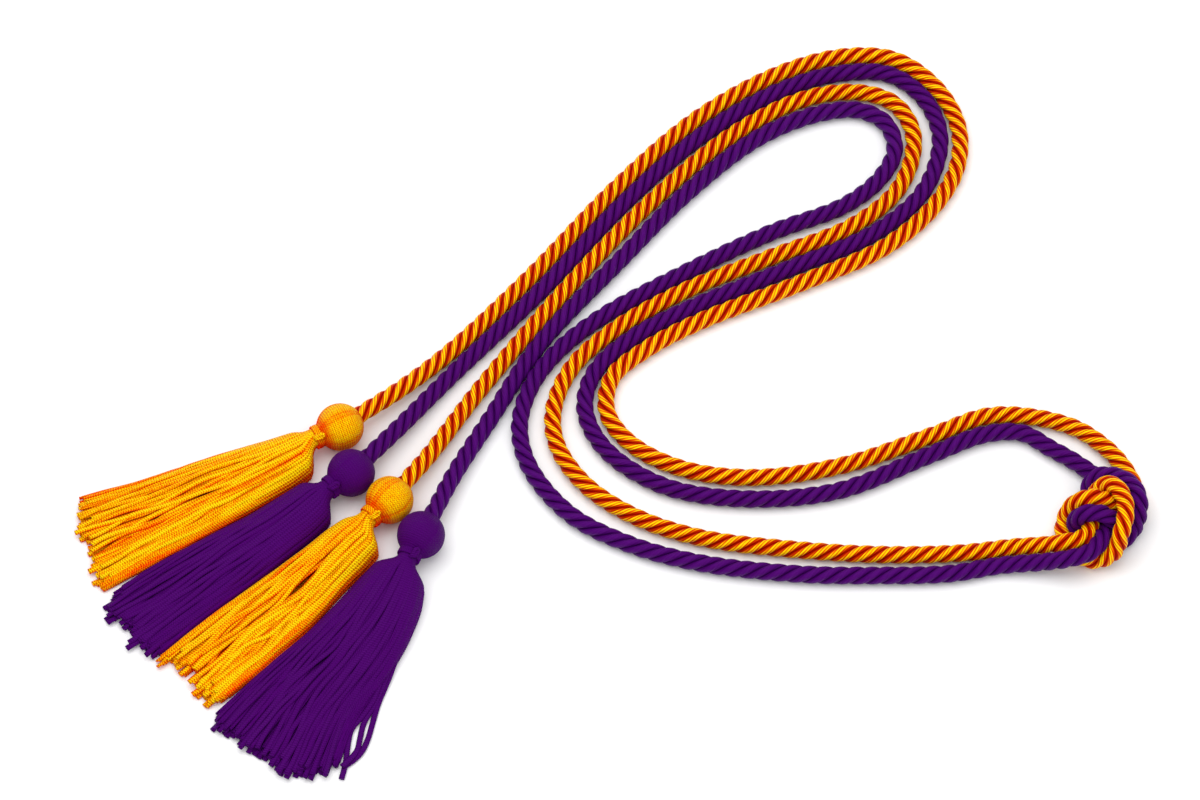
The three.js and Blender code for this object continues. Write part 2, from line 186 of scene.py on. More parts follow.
# How unevenly the strands are spaced round the skirt, cut and shaded
TURN_SCATTER = 0.22
LEAST_TURN = 0.03
CUT_SCATTER = 0.018
CLUMP_SIZE = 0.01
CLUMPS = (9, 19)
TONE_SCATTER = 0.07
DEEP_CREVICES = 0.4
SHALLOW_CREVICE = 0.5
# How the dome of strands is filled: crowded to its edges, high over most of its width
EDGE_CROWDING = 0.85
DOME_ROUNDING = 0.6
NECK_CROWDING = 1.25
# Where tassel 3's upper strands part: share of its length, of its half width, half opening and reach
PARTING = (0.7, 0.33, 0.0015, 0.12)
PARTING_WIDTH = 0.0045
# The bight of strand over each neck: along from the ball's centre, degrees round the neck, distance from its axis
BIGHT = ((0.0116, 53, 0.0036), (0.0112, 54, 0.0047), (0.0098, 53, 0.0053), (0.0086, 54, 0.0057),
         (0.0081, 60, 0.006), (0.0086, 66, 0.0057), (0.0098, 66, 0.0053), (0.0113, 65, 0.0045), (0.012, 63, 0.0036))
BIGHT_LENGTH = 0.012
# Its width and thickness as shares of a wrap's width
BIGHT_WIDTH = 1.3
BIGHT_THICKNESS = 0.95

# Satin: how drawn out its fibres are, their turns a millimetre, and how much fibres and threads tell
FIBRE_DRAW = 0.12
FIBRE_TWIST = 0.03
FIBRE_TONE = 0.35
THREAD_TONE = 0.11
THREAD_RELIEF = 0.25
SATIN_RELIEF = 0.00025
# Knit: how much a stitch fills the gap beside it, how much painted shade darkens the gaps, and how much the grain
# tells
STITCH_FILL = 0.65
GAP_SHADE = 0.7
GRAIN_SCALE = 1100
GRAIN_TONE = 0.7
GRAIN_RELIEF = 0.7
KNIT_RELIEF = 0.00022

FLOOR_SIZE = 6
FLOOR_DROP = 0.0003
# Name, place, size and power
LIGHTS = (
    ("key", (-0.25, 0.15, 1.85), 1.8, 27),
    ("fill", (0.9, -0.8, 1.5), 1.6, 6),
)
ROOM_LIGHT = 0.66

# The cords' centre lines, from end to end
GOLD_ROUTE = (
    (-0.0769, 0.0012, 0.0063), (-0.0579, 0.0191, 0.00345), (-0.0272, 0.052, 0.00345),
    (0.0078, 0.0936, 0.00345), (0.0389, 0.124, 0.00345), (0.071, 0.1441, 0.00345),
    (0.0968, 0.1519, 0.00345), (0.1165, 0.1503, 0.00345), (0.132, 0.1379, 0.00345),
    (0.1405, 0.1205, 0.00345), (0.14, 0.1024, 0.00345), (0.1308, 0.0844, 0.00345),
    (0.1109, 0.0656, 0.00345), (0.0776, 0.0494, 0.00345), (0.0387, 0.0326, 0.00345),
    (0.0174, 0.02, 0.00345), (0.0046, 0.0078, 0.00345), (0.0027, -0.0071, 0.00345),
    (0.0115, -0.0205, 0.00345), (0.0306, -0.0313, 0.00345), (0.0573, -0.0354, 0.00345),
    (0.0918, -0.0304, 0.00345), (0.1265, -0.0175, 0.00345), (0.1478, -0.009, 0.00345),
    (0.1632, -0.0088, 0.00345),
    # into the knot
    (0.1822, -0.014, 0.00345), (0.1938, -0.0227, 0.00345), (0.1991, -0.0292, 0.00345),
    (0.2026, -0.0357, 0.00345), (0.2044, -0.0416, 0.0036), (0.2028, -0.0479, 0.0062),
    (0.1984, -0.0504, 0.0098), (0.1945, -0.0503, 0.0118), (0.1905, -0.0503, 0.0145),
    (0.1868, -0.0504, 0.0164), (0.1833, -0.051, 0.0156), (0.1794, -0.0513, 0.0106),
    (0.1769, -0.0543, 0.0048), (0.1762, -0.0606, 0.00345), (0.1798, -0.0664, 0.00345),
    (0.1854, -0.0704, 0.00345), (0.1909, -0.0708, 0.005), (0.1954, -0.0693, 0.0092),
    (0.1972, -0.0651, 0.0146), (0.1988, -0.0597, 0.0171), (0.199, -0.0536, 0.0174),
    (0.1976, -0.0491, 0.0174), (0.1954, -0.0456, 0.0166), (0.1926, -0.0439, 0.0142),
    (0.1902, -0.044, 0.0114), (0.188, -0.047, 0.0097), (0.1866, -0.0531, 0.0098),
    (0.1861, -0.0594, 0.0099), (0.1836, -0.064, 0.0099), (0.1768, -0.0662, 0.0098),
    (0.1689, -0.0658, 0.0065),
    # out of the knot
    (0.1577, -0.0651, 0.00345), (0.1367, -0.0677, 0.00345), (0.1063, -0.0683, 0.00345),
    (0.0722, -0.066, 0.00345), (0.038, -0.0611, 0.00345), (0.0133, -0.0521, 0.00345),
    (-0.0057, -0.0384, 0.00345), (-0.0165, -0.0214, 0.00345), (-0.0179, -0.0062, 0.00345),
    (-0.0112, 0.0117, 0.00345), (0.0039, 0.0275, 0.00345), (0.031, 0.0451, 0.00345),
    (0.0661, 0.0609, 0.00345), (0.0974, 0.0745, 0.00345), (0.1153, 0.0898, 0.00345),
    (0.1225, 0.1069, 0.00345), (0.1222, 0.1196, 0.00345), (0.1153, 0.1306, 0.00345),
    (0.1016, 0.1354, 0.00345), (0.0807, 0.1324, 0.00345), (0.053, 0.1167, 0.00345),
    (0.0195, 0.0853, 0.00345), (-0.0155, 0.0438, 0.00345), (-0.0462, 0.0027, 0.00345),
    (-0.065, -0.0263, 0.0055),
)
PURPLE_ROUTE = (
    (-0.0766, -0.0148, 0.0063), (-0.0578, 0.0082, 0.00345), (-0.0233, 0.0458, 0.00345),
    (0.0117, 0.0878, 0.00345), (0.0412, 0.1167, 0.00345), (0.0729, 0.137, 0.00345),
    (0.0967, 0.1443, 0.00345), (0.1144, 0.1434, 0.00345), (0.1272, 0.1329, 0.00345),
    (0.1331, 0.1183, 0.00345), (0.1322, 0.1047, 0.00345), (0.1246, 0.088, 0.00345),
    (0.1059, 0.0712, 0.00345), (0.0738, 0.056, 0.00345), (0.0348, 0.0383, 0.00345),
    (0.012, 0.0249, 0.00345), (-0.0023, 0.0099, 0.00345), (-0.0058, -0.0062, 0.00345),
    (0.0019, -0.0231, 0.00345), (0.0229, -0.0384, 0.00345), (0.0515, -0.0444, 0.00345),
    (0.0897, -0.0414, 0.00345), (0.1263, -0.0257, 0.00345), (0.1476, -0.0168, 0.00345),
    (0.1618, -0.0162, 0.00345),
    # into the knot
    (0.1723, -0.0227, 0.00345), (0.1804, -0.0278, 0.00345), (0.1871, -0.0329, 0.00345),
    (0.1921, -0.037, 0.00345), (0.1956, -0.0415, 0.00345), (0.1966, -0.0465, 0.00345),
    (0.197, -0.051, 0.0036), (0.1971, -0.0569, 0.008), (0.1948, -0.0584, 0.0128),
    (0.1906, -0.0574, 0.016), (0.1866, -0.0571, 0.0164), (0.1831, -0.0572, 0.0152),
    (0.1804, -0.0577, 0.0092), (0.1832, -0.0605, 0.0042), (0.1864, -0.0635, 0.00345),
    (0.1916, -0.0648, 0.00345), (0.198, -0.0628, 0.00345), (0.2029, -0.058, 0.005),
    (0.2047, -0.0543, 0.0096), (0.2048, -0.0495, 0.0128), (0.2025, -0.0432, 0.012),
    (0.1976, -0.0389, 0.0106), (0.1917, -0.0378, 0.0102), (0.1876, -0.0391, 0.0076),
    (0.1859, -0.0432, 0.004), (0.1854, -0.0483, 0.00345), (0.188, -0.0532, 0.00345),
    (0.1911, -0.0571, 0.005), (0.1907, -0.0642, 0.0102), (0.1857, -0.0709, 0.011),
    (0.1769, -0.0735, 0.01), (0.1687, -0.073, 0.0065),
    # out of the knot
    (0.1518, -0.073, 0.00345), (0.1327, -0.0764, 0.00345), (0.1062, -0.0772, 0.00345),
    (0.0758, -0.0766, 0.00345), (0.038, -0.0719, 0.00345), (0.0114, -0.064, 0.00345),
    (-0.0114, -0.0512, 0.00345), (-0.0268, -0.0313, 0.00345), (-0.0309, -0.014, 0.00345),
    (-0.0269, 0.0034, 0.00345), (-0.017, 0.0187, 0.00345), (0, 0.0341, 0.00345),
    (0.0311, 0.0531, 0.00345), (0.0662, 0.0718, 0.00345), (0.0957, 0.0844, 0.00345),
    (0.1096, 0.0965, 0.00345), (0.1155, 0.1092, 0.00345), (0.1124, 0.121, 0.00345),
    (0.1023, 0.1271, 0.00345), (0.0865, 0.1258, 0.00345), (0.0628, 0.1151, 0.00345),
    (0.0352, 0.0911, 0.00345), (0.0078, 0.0598, 0.00345), (-0.0232, 0.0227, 0.00345),
    (-0.0422, -0.0101, 0.00345), (-0.0554, -0.0345, 0.0055),
)
CORDS = (
    dict(name="gold_rope", node="gold_cord", slot="gold_satin", first=0, last=2, route=GOLD_ROUTE, length=1.62),
    dict(name="purple_rope", node="purple_cord", slot="purple_satin", first=1, last=3, route=PURPLE_ROUTE,
         length=1.63),
)


def unit(vectors):
    return vectors / np.linalg.norm(vectors, axis=-1, keepdims=True)


def add_camera():
    forward = Vector((0, math.cos(ELEVATION), -math.sin(ELEVATION)))
    place = LOOK_AT - forward * DISTANCE
    bpy.ops.object.camera_add(location=place, rotation=(math.pi / 2 - ELEVATION, 0, 0))
    camera = bpy.context.object
    camera.name = "camera"
    camera.data.sensor_width = SENSOR_MM
    camera.data.lens = SENSOR_MM * DISTANCE / VIEW_WIDTH
    camera.data.clip_end = 20
    bpy.context.scene.camera = camera


def smooth_line(points, samples=24):
    """A centripetal Catmull-Rom curve through the points, sampled finely."""
    points = np.asarray(points, float)
    ends = (2 * points[0] - points[1], 2 * points[-1] - points[-2])
    padded = np.vstack((ends[0], points, ends[1]))
    share = np.arange(samples)[:, None] / samples
    pieces = []
    for i in range(len(points) - 1):
        before, start, end, after = padded[i:i + 4]
        d0, d1, d2 = (max(math.sqrt(np.linalg.norm(b - a)), 1e-5)
                      for a, b in ((before, start), (start, end), (end, after)))
        t1 = ((start - before) / d0 - (end - before) / (d0 + d1) + (end - start) / d1) * d1
        t2 = ((end - start) / d1 - (after - start) / (d1 + d2) + (after - end) / d2) * d1
        cubic = 2 * start - 2 * end + t1 + t2
        square = -3 * start + 3 * end - 2 * t1 - t2
        pieces.append(start + t1 * share + square * share ** 2 + cubic * share ** 3)
    return np.vstack(pieces + [points[-1:]])


def evenly(line, step):
    """The line again, with points at even distances."""
    along = np.concatenate(([0], np.cumsum(np.linalg.norm(np.diff(line, axis=0), axis=1))))
    count = int(round(along[-1] / step)) + 1
    wanted = np.linspace(0, along[-1], count)
    return np.column_stack([np.interp(wanted, along, line[:, k]) for k in range(3)]), wanted


def carried_frames(line):
    """Tangents, and two directions across that turn as little as they can along the line."""
    tangent = unit(np.gradient(line, axis=0))
    across = np.empty_like(line)
    across[0] = unit(np.cross(tangent[0], (0, 0, 1)))
    for i in range(1, len(line)):
        moved = across[i - 1] - tangent[i] * (across[i - 1] @ tangent[i])
        across[i] = moved / np.linalg.norm(moved)
    return tangent, across, np.cross(tangent, across)


def swept(centres, side, up, half_width, half_height, corners):
    """Rings round the centre lines: an array of strands, rings, corners and coordinates."""
    angle = np.arange(corners) * 2 * math.pi / corners
    wide = np.cos(angle)[:, None] * side[..., None, :] * half_width[..., None, None]
    high = np.sin(angle)[:, None] * up[..., None, :] * half_height[..., None, None]
    return centres[..., None, :] + wide + high


def strand_mesh(name, rings, length_along, shade):
    """One mesh of many closed strands, with a UV map in millimetres along and turns around, and a shade."""
    strands, count, corners = rings.shape[:3]
    vertex = np.arange(strands * count * corners).reshape(strands, count, corners)
    turned = np.roll(vertex, -1, axis=2)
    quads = np.stack((vertex[:, :-1], turned[:, :-1], turned[:, 1:], vertex[:, 1:]), axis=-1).reshape(-1, 4)
    starts = vertex[:, 0, ::-1].reshape(strands, corners)
    ends = vertex[:, -1].reshape(strands, corners)
    loops = np.concatenate((quads.ravel(), starts.ravel(), ends.ravel()))
    sizes = np.concatenate((np.full(len(quads), 4), np.full(2 * strands, corners)))
    mesh = bpy.data.meshes.new(name)
    mesh.vertices.add(rings.size // 3)
    mesh.vertices.foreach_set("co", rings.reshape(-1).astype(np.float32))
    mesh.loops.add(len(loops))
    mesh.loops.foreach_set("vertex_index", loops.astype(np.int32))
    mesh.polygons.add(len(sizes))
    mesh.polygons.foreach_set("loop_start", (np.cumsum(sizes) - sizes).astype(np.int32))
    mesh.polygons.foreach_set("use_smooth", np.concatenate((np.ones(len(quads), bool), np.zeros(2 * strands, bool))))

    around = np.broadcast_to(np.arange(corners) / corners, vertex.shape)
    along = np.broadcast_to(length_along[..., None] * 1000, vertex.shape)
    uv = np.stack((along.reshape(-1)[loops], around.reshape(-1)[loops]), axis=-1)
    corner = np.tile(np.arange(4), len(quads))
    last_face = (vertex[:, :-1] % corners == corners - 1).reshape(-1)
    wrap = np.repeat(last_face, 4) & np.isin(corner, (1, 2))
    uv[:len(quads) * 4, 1][wrap] = 1
    layer = mesh.uv_layers.new(name="strand")
    layer.uv.foreach_set("vector", uv.reshape(-1).astype(np.float32))
    attribute = mesh.attributes.new("shade", "FLOAT", "POINT")
    attribute.data.foreach_set("value", np.broadcast_to(shade, vertex.shape).reshape(-1).astype(np.float32))
    mesh.update(calc_edges=True)
    mesh.validate()
    piece = bpy.data.objects.new(name, mesh)
    bpy.context.collection.objects.link(piece)
    return piece


def head_centre(tassel):
    return np.array((*tassel["head"], BALL_RADIUS)) - LAYOUT_MIDDLE


def head_points(tassel, nearest):
    """The cord's end in the socket and a place just outside the ball."""
    centre = head_centre(tassel)
    out = unit(np.array(nearest) - centre)
    reaches = (BALL_RADIUS - SOCKET_DEPTH + CLEARANCE, BALL_RADIUS + CORD_ROD_DIAMETER / 2)
    return [centre + out * reach for reach in reaches]


def rope(name, node, slot, first, last, route, length):
    """Plies twisted to the left round the cord's route, tighter where the knot pulls on them."""
    route = np.array(route) - LAYOUT_MIDDLE
    start = head_points(TASSELS[first], route[0])
    end = head_points(TASSELS[last], route[-1])[::-1]
    line, along = evenly(smooth_line(np.vstack((start, route, end))), ROPE_STEP)
    tangent, across, over = carried_frames(line)
    pulled = np.exp(-(np.linalg.norm(line + LAYOUT_MIDDLE - KNOT_MIDDLE, axis=1) / KNOT_REACH) ** 2)
    turns = np.cumsum(np.gradient(along) / blended(pulled, LAY_IN_KNOT, LAY))
    angle = (np.arange(PLIES)[:, None] / PLIES + turns) * 2 * math.pi
    out = np.cos(angle)[..., None] * across - np.sin(angle)[..., None] * over
    centres = line + out * PLY_OFFSET
    ply_tangent = unit(np.gradient(centres, axis=1))
    side = unit(out - ply_tangent * (out * ply_tangent).sum(-1, keepdims=True))
    up = np.cross(ply_tangent, side)
    radius = np.full(centres.shape[:2], PLY_RADIUS)
    rings = swept(centres, side, up, radius, radius * PLY_FLATTENING, PLY_CORNERS)
    # Painted shade: each ply is shaded by how far it reaches out from the cord's line, darkest in the grooves between
    # plies and lightest on the crests.
    reach = np.linalg.norm(rings - line[:, None], axis=-1)
    shade = np.clip((reach - PLY_OFFSET) / (CREST_DIAMETER / 2 - PLY_OFFSET), 0, 1)
    travelled = np.broadcast_to(along, centres.shape[:2])
    piece = strand_mesh(name, rings, travelled, shade)
    piece.data.materials.append(MATERIALS[slot])
    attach(piece, "root")
    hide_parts(node)


def section(tassel, column, along):
    """A column of the tassel's sections, read smoothly at the given shares of the skirt's length."""
    rows = np.array([edge + profile for edge, profile in zip(tassel["edges"], PROFILE)])
    x, y = rows[:, 0], rows[:, COLUMNS.index(column)]
    slope = np.gradient(y, x)
    i = np.clip(np.searchsorted(x, along, side="right") - 1, 0, len(x) - 2)
    width = x[i + 1] - x[i]
    t = np.clip((along - x[i]) / width, 0, 1.1)
    cubic = (2 * t ** 3 - 3 * t ** 2 + 1) * y[i] + (t ** 3 - 2 * t ** 2 + t) * width * slope[i]
    return cubic + (-2 * t ** 3 + 3 * t ** 2) * y[i + 1] + (t ** 3 - t ** 2) * width * slope[i + 1]


def placed(tassel, points):
    """Points along, across and above a tassel's heading, turned and moved to where it lies."""
    angle = math.radians(tassel["heading"])
    turn = np.array(((math.cos(angle), math.sin(angle), 0), (-math.sin(angle), math.cos(angle), 0), (0, 0, 1)))
    return points @ turn + np.array((*tassel["head"], 0)) - LAYOUT_MIDDLE


def dressed(piece, tassel, node, material_slot):
    piece.data.materials.append(MATERIALS[material_slot])
    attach(piece, "root")
    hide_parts(f"{node}_{tassel['number']}")


def smooth_step(value, low, high):
    t = np.clip((value - low) / (high - low), 0, 1)
    return t * t * (3 - 2 * t)


def wander(rng, count, along, waves):
    """A seeded waver for each strand, from waves of the given number and size."""
    total = np.zeros((count, len(along[0])))
    for number, size in waves:
        phase = rng.uniform(0, 1, (count, 1))
        total += rng.normal(0, size, (count, 1)) * np.sin(2 * math.pi * (number * along + phase))
    return total


def shaded(cover, lift, right_crevice, left_crevice):
    """Shade round each strand: as open as it lies where it faces up, less by its crevices elsewhere."""
    side = np.cos(np.arange(STRAND_CORNERS) * 2 * math.pi / STRAND_CORNERS)
    turned_away = np.maximum(1 - smooth_step(lift, *FACING), SIDE_SHADE * side ** 2)
    crevice = np.where(side > 0, left_crevice[..., None], right_crevice[..., None])
    return cover[..., None] * (1 - turned_away * crevice)


def swept_flat(centres, side, out, half_width, half_height):
    """Flat strands round their centre lines, and how far each of their corners faces up."""
    rings = swept(centres, side, out, half_width, half_height, STRAND_CORNERS)
    normals = unit(swept(0 * centres, side, out, half_height, half_width, STRAND_CORNERS))
    return rings, normals[..., 2]


def blended(shares, first, second):
    return shares * first + (1 - shares) * second


def skirt_strands(tassel):
    """The knitted strands' centre lines, ways out and openness: a low dome that is gathered at the neck."""
    rng = np.random.default_rng(SEED + tassel["number"])
    counts = [round(tassel["strands"] * portion) for _, portion, _ in LAYERS]
    spaced = [(np.arange(count) + 0.5 + rng.normal(0, TURN_SCATTER, count)) / count * math.pi
              for count in counts[:-1]]
    on_floor = np.arccos(np.linspace(0.9, -0.9, counts[-1]))
    turn = np.clip(np.concatenate(spaced + [on_floor]), LEAST_TURN, math.pi - LEAST_TURN)
    layer = np.repeat(np.arange(len(LAYERS)), counts)
    depth, _, openness = np.array(LAYERS)[layer].T
    count = len(turn)
    top = (layer < len(LAYERS) - 1)[:, None]

    share = -np.sign(np.cos(turn)) * np.abs(np.cos(turn)) ** EDGE_CROWDING
    openness = openness * (1 - LEFT_EDGE_SHADE * smooth_step(share, EDGE_SHARE, 1)
                           - RIGHT_EDGE_SHADE * smooth_step(-share, EDGE_SHARE, 1))
    finish = np.array(tassel["ends"])
    right_end, left_end = np.array(tassel["edges"])[-1, 1:]
    across = right_end + (left_end - right_end) * (share + 1) / 2
    clumps = sum(CLUMP_SIZE * np.sin(turn * number + rng.uniform(0, 6)) for number in CLUMPS)
    end = np.interp(across, finish[:, 0], finish[:, 1]) - CUT_SCATTER + clumps + rng.normal(0, CUT_SCATTER, count)
    start = -BINDING_LENGTH / SKIRT_LENGTH
    along = start + (end[:, None] - start) * np.linspace(0, 1, STRAND_RINGS) ** NECK_CROWDING
    inside = np.maximum(along, 0)
    free = smooth_step(inside, *FREE)

    # Where each strand lies once the skirt has spread out
    right = section(tassel, "right", inside) * SKIRT_HALF_WIDTH + STRAND_WIDTH / 2
    left = section(tassel, "left", inside) * SKIRT_HALF_WIDTH - STRAND_WIDTH / 2
    half = (left - right) / 2
    waver = wander(rng, count, inside, WAVERS)
    for number, slope, size in SWAYS:
        phase = LAYER_PHASE * layer[:, None] + rng.uniform()
        waver += size * np.sin(2 * math.pi * (number * inside + slope * share[:, None] + phase))
    waver *= tassel["waver"] * free * (1 - EDGE_CALM * share[:, None] ** 2) * np.where(top, 1, FLOOR_SWAY)
    y = (left + right) / 2 + share[:, None] * (half - depth[:, None] * LAYER_STEP) + waver
    if tassel["number"] == 3:
        place, middle, opening, reach = PARTING
        off = y - middle * SKIRT_HALF_WIDTH
        near = np.exp(-((inside - place) / reach) ** 2 * 2) * np.exp(-(off / PARTING_WIDTH) ** 2)
        y += np.tanh(off / opening) * opening * near * (layer < PARTED_LAYERS)[:, None]
    low = section(tassel, "underside", inside) * SKIRT_HEIGHT + STRAND_HEIGHT / 2
    rise = section(tassel, "top", inside) * SKIRT_HEIGHT - low - STRAND_HEIGHT / 2 - depth[:, None] * LAYER_STEP
    z = low + top * np.maximum(rise, 0) * np.sin(turn)[:, None] ** DOME_ROUNDING
    z += wander(rng, count, inside, RISES) * free * top
    outward = np.stack((np.zeros(count), -EDGE_LEAN * np.cos(turn), np.sin(turn)), axis=-1)
    outward = np.where(top, outward, (0, 0, 1))[:, None] * np.ones((count, STRAND_RINGS, 1))

    # Where it lies in the round bundle at the neck
    upper = math.pi / 2 + UPPER_SPREAD * (turn - math.pi / 2)
    circle = np.where(top[:, 0], upper, -math.pi / 2 + share * FLOOR_SPREAD)[:, None]
    radius = NECK_RADIUS - STRAND_SINK - depth[:, None] * LAYER_STEP
    round_out = np.concatenate((0 * circle, -np.cos(circle) * np.where(top, 1, -1), np.sin(circle)), axis=1)[:, None]
    gathered = 1 - smooth_step(inside, *NECK_OPENS)
    y = blended(gathered, radius * round_out[..., 1], y)
    z = blended(gathered, BALL_RADIUS + radius * round_out[..., 2], z)
    outward = blended(gathered[..., None], round_out, outward)
    z = np.maximum(z, STRAND_HEIGHT / 2)
    return np.stack((SKIRT_START + along * SKIRT_LENGTH, y, z), axis=-1), outward, inside, openness


def strands_of(tassel):
    """The skirt: every strand swept along its centre line, and tassel 4's strays, in one mesh."""
    centres, outward, inside, openness = skirt_strands(tassel)
    thin = np.clip(NECK_THINNESS + inside * SWELLING, NECK_THINNESS, 1)
    if tassel["number"] == 4:
        strays = []
        for stray in STRAYS:
            line, _ = evenly(smooth_line(np.array(stray) * (SKIRT_LENGTH, SKIRT_HALF_WIDTH, 1)), STRAY_STEP)
            pick = np.linspace(0, len(line) - 1, STRAND_RINGS).astype(int)
            strays.append(line[pick] + (SKIRT_START, 0, 0))
        centres = np.concatenate((centres, strays))
        whole = np.ones((len(STRAYS), STRAND_RINGS))
        outward = np.concatenate((outward, whole[..., None] * (0, 0, 1)))
        thin = np.concatenate((thin, whole))
        inside = np.concatenate((inside, whole))
        openness = np.concatenate((openness, np.ones(len(STRAYS))))
    tangent = unit(np.gradient(centres, axis=-2))
    side = unit(np.cross(outward, tangent))
    rings, lift = swept_flat(centres, side, np.cross(tangent, side),
                             STRAND_WIDTH / 2 * thin, STRAND_HEIGHT / 2 * thin)
    rings[..., 2] += np.maximum(-rings[..., 2].min(axis=-1, keepdims=True), 0)
    rng = np.random.default_rng(SEED + 10 * tassel["number"])
    cover = np.maximum(openness[:, None], TIP_OPENNESS * smooth_step(inside, *TIPS))
    count = len(openness)
    cover = cover + rng.normal(0, TONE_SCATTER, (count, 1)) + wander(rng, count, inside, TONES)
    deep = rng.uniform(0, 1, (2, count, 1)) < DEEP_CREVICES
    crevices = np.where(deep, 1, SHALLOW_CREVICE) * np.ones(rings.shape[:2])
    lengths = np.concatenate((np.zeros((len(centres), 1)), np.cumsum(
        np.linalg.norm(np.diff(centres, axis=1), axis=-1), axis=1)), axis=1)
    shade = shaded(cover, lift, *crevices)
    piece = strand_mesh(f"strands_{tassel['number']}", placed(tassel, rings), lengths, shade)
    dressed(piece, tassel, "skirt", f"{tassel['colour']}_strand")


def neck_turns(tassel):
    """A few turns of strand round the neck, and the bight that locks them."""
    turn = np.linspace(0, WRAP_TURNS * 2 * math.pi, STRAND_RINGS * 2)
    x = BINDING_START + WRAP_WIDTH / 2 + (BINDING_LENGTH - WRAP_WIDTH) * turn / turn[-1]
    radius = NECK_RADIUS + STRAND_SINK
    centres = np.stack((x, radius * np.cos(turn), BALL_RADIUS + radius * np.sin(turn)), axis=-1)
    out = np.stack((np.zeros_like(turn), np.cos(turn), np.sin(turn)), axis=-1)
    half = np.full(turn.shape, WRAP_WIDTH / 2)
    side = unit(np.cross(out, np.gradient(centres, axis=0)))
    winding, winding_lift = swept_flat(centres, side, out, half, half * WRAP_FLATNESS)
    along, degrees, reach = np.array(BIGHT).T
    angle = np.radians(degrees)
    corners = np.column_stack((along, reach * np.cos(angle), BALL_RADIUS + reach * np.sin(angle)))
    line, _ = evenly(smooth_line(corners), BIGHT_STEP)
    line = line[np.linspace(0, len(line) - 1, STRAND_RINGS * 2).astype(int)]
    out = unit(line * (0, 1, 1) - (0, 0, BALL_RADIUS))
    side = unit(np.cross(out, np.gradient(line, axis=0)))
    bight, bight_lift = swept_flat(line, side, out, half * BIGHT_WIDTH, half * BIGHT_THICKNESS)
    rings = np.stack((winding, bight))
    lengths = np.stack((turn * radius, np.linspace(0, BIGHT_LENGTH, len(turn))))
    cover = np.broadcast_to(np.array(WRAP_OPENNESS)[:, None], rings.shape[:2])
    crevices = np.full(cover.shape, WRAP_CREVICE)
    shade = shaded(cover, np.stack((winding_lift, bight_lift)), crevices, crevices)
    piece = strand_mesh(f"wrap_{tassel['number']}", placed(tassel, rings), lengths, shade)
    dressed(piece, tassel, "binding", f"{tassel['colour']}_strand")


def ball(tassel):
    """A ball covered with strands that run from the cord's hole, drawn in to a neck at the skirt's end."""
    bpy.ops.object.select_all(action="DESELECT")
    bpy.ops.mesh.primitive_uv_sphere_add(segments=2 * BALL_STRANDS, ring_count=BALL_RINGS, radius=BALL_RADIUS)
    piece = bpy.context.object
    piece.name = f"ball_{tassel['number']}"
    rng = np.random.default_rng(SEED * tassel["number"])
    bpy.ops.object.mode_set(mode="EDIT")
    shell = bmesh.from_edit_mesh(piece.data)
    pole = BALL_RADIUS * math.cos(math.pi / BALL_RINGS * (NECK_RING + 0.5))

    # Grooves between the strands
    for share, portion in GROOVES:
        bpy.ops.mesh.select_all(action="DESELECT")
        deep = rng.uniform(0, 1, BALL_STRANDS) < portion
        for vertex in shell.verts:
            place = round(math.atan2(vertex.co.y, vertex.co.x) / math.pi * BALL_STRANDS) % (2 * BALL_STRANDS)
            if place % 2 and deep[place // 2] and abs(vertex.co.z) < BALL_RADIUS * GROOVED_SHARE:
                vertex.select_set(True)
        shell.select_flush_mode()
        bpy.ops.transform.shrink_fatten(value=-GROOVE * share)

    # The neck under the wraps
    bpy.ops.mesh.select_all(action="DESELECT")
    for vertex in shell.verts:
        if vertex.co.z > pole:
            vertex.select_set(True)
    shell.select_flush_mode()
    bpy.ops.transform.translate(value=(0, 0, SKIRT_START - BALL_RADIUS))
    widen = NECK_RADIUS / (BALL_RADIUS * math.sin(math.pi / BALL_RINGS * NECK_RING))
    bpy.ops.transform.resize(value=(widen, widen, 1), center_override=(0, 0, 0))
    bpy.ops.object.mode_set(mode="OBJECT")

    rounding = piece.modifiers.new("rounding", "SUBSURF")
    rounding.levels = rounding.render_levels = 1
    bpy.ops.object.modifier_apply(modifier=rounding.name)
    bpy.ops.object.shade_smooth()
    strand_map(piece.data)

    heading = math.radians(tassel["heading"])
    piece.rotation_euler = (0, math.pi / 2, heading)
    piece.location = head_centre(tassel)
    bpy.ops.object.transform_apply(location=True, rotation=True, scale=True)
    shade_ball(piece.data, head_centre(tassel), tassel["heading"])
    dressed(piece, tassel, "head", f"{tassel['colour']}_strand")


def corner_places(mesh):
    place = np.empty(len(mesh.vertices) * 3, np.float32)
    mesh.vertices.foreach_get("co", place)
    return place.reshape(-1, 3)


def strand_map(mesh):
    """UV for a ball whose strands run from pole to pole on Z: millimetres along, and half a turn a strand."""
    place = corner_places(mesh)
    loops = np.empty(len(mesh.loops), np.int32)
    mesh.loops.foreach_get("vertex_index", loops)
    turn = (np.arctan2(place[:, 1], place[:, 0]) / (2 * math.pi) % 1)[loops]
    for face in mesh.polygons:
        corners = slice(face.loop_start, face.loop_start + face.loop_total)
        if np.ptp(turn[corners]) > 0.5:
            turn[corners] = np.where(turn[corners] < 0.5, turn[corners] + 1, turn[corners])
    along = np.arccos(np.clip(unit(place)[:, 2], -1, 1))[loops] * BALL_RADIUS * 1000
    mesh.uv_layers[0].name = "strand"
    uv = np.stack((along, turn * BALL_STRANDS / 2), axis=-1)
    mesh.uv_layers[0].uv.foreach_set("vector", uv.ravel().astype(np.float32))


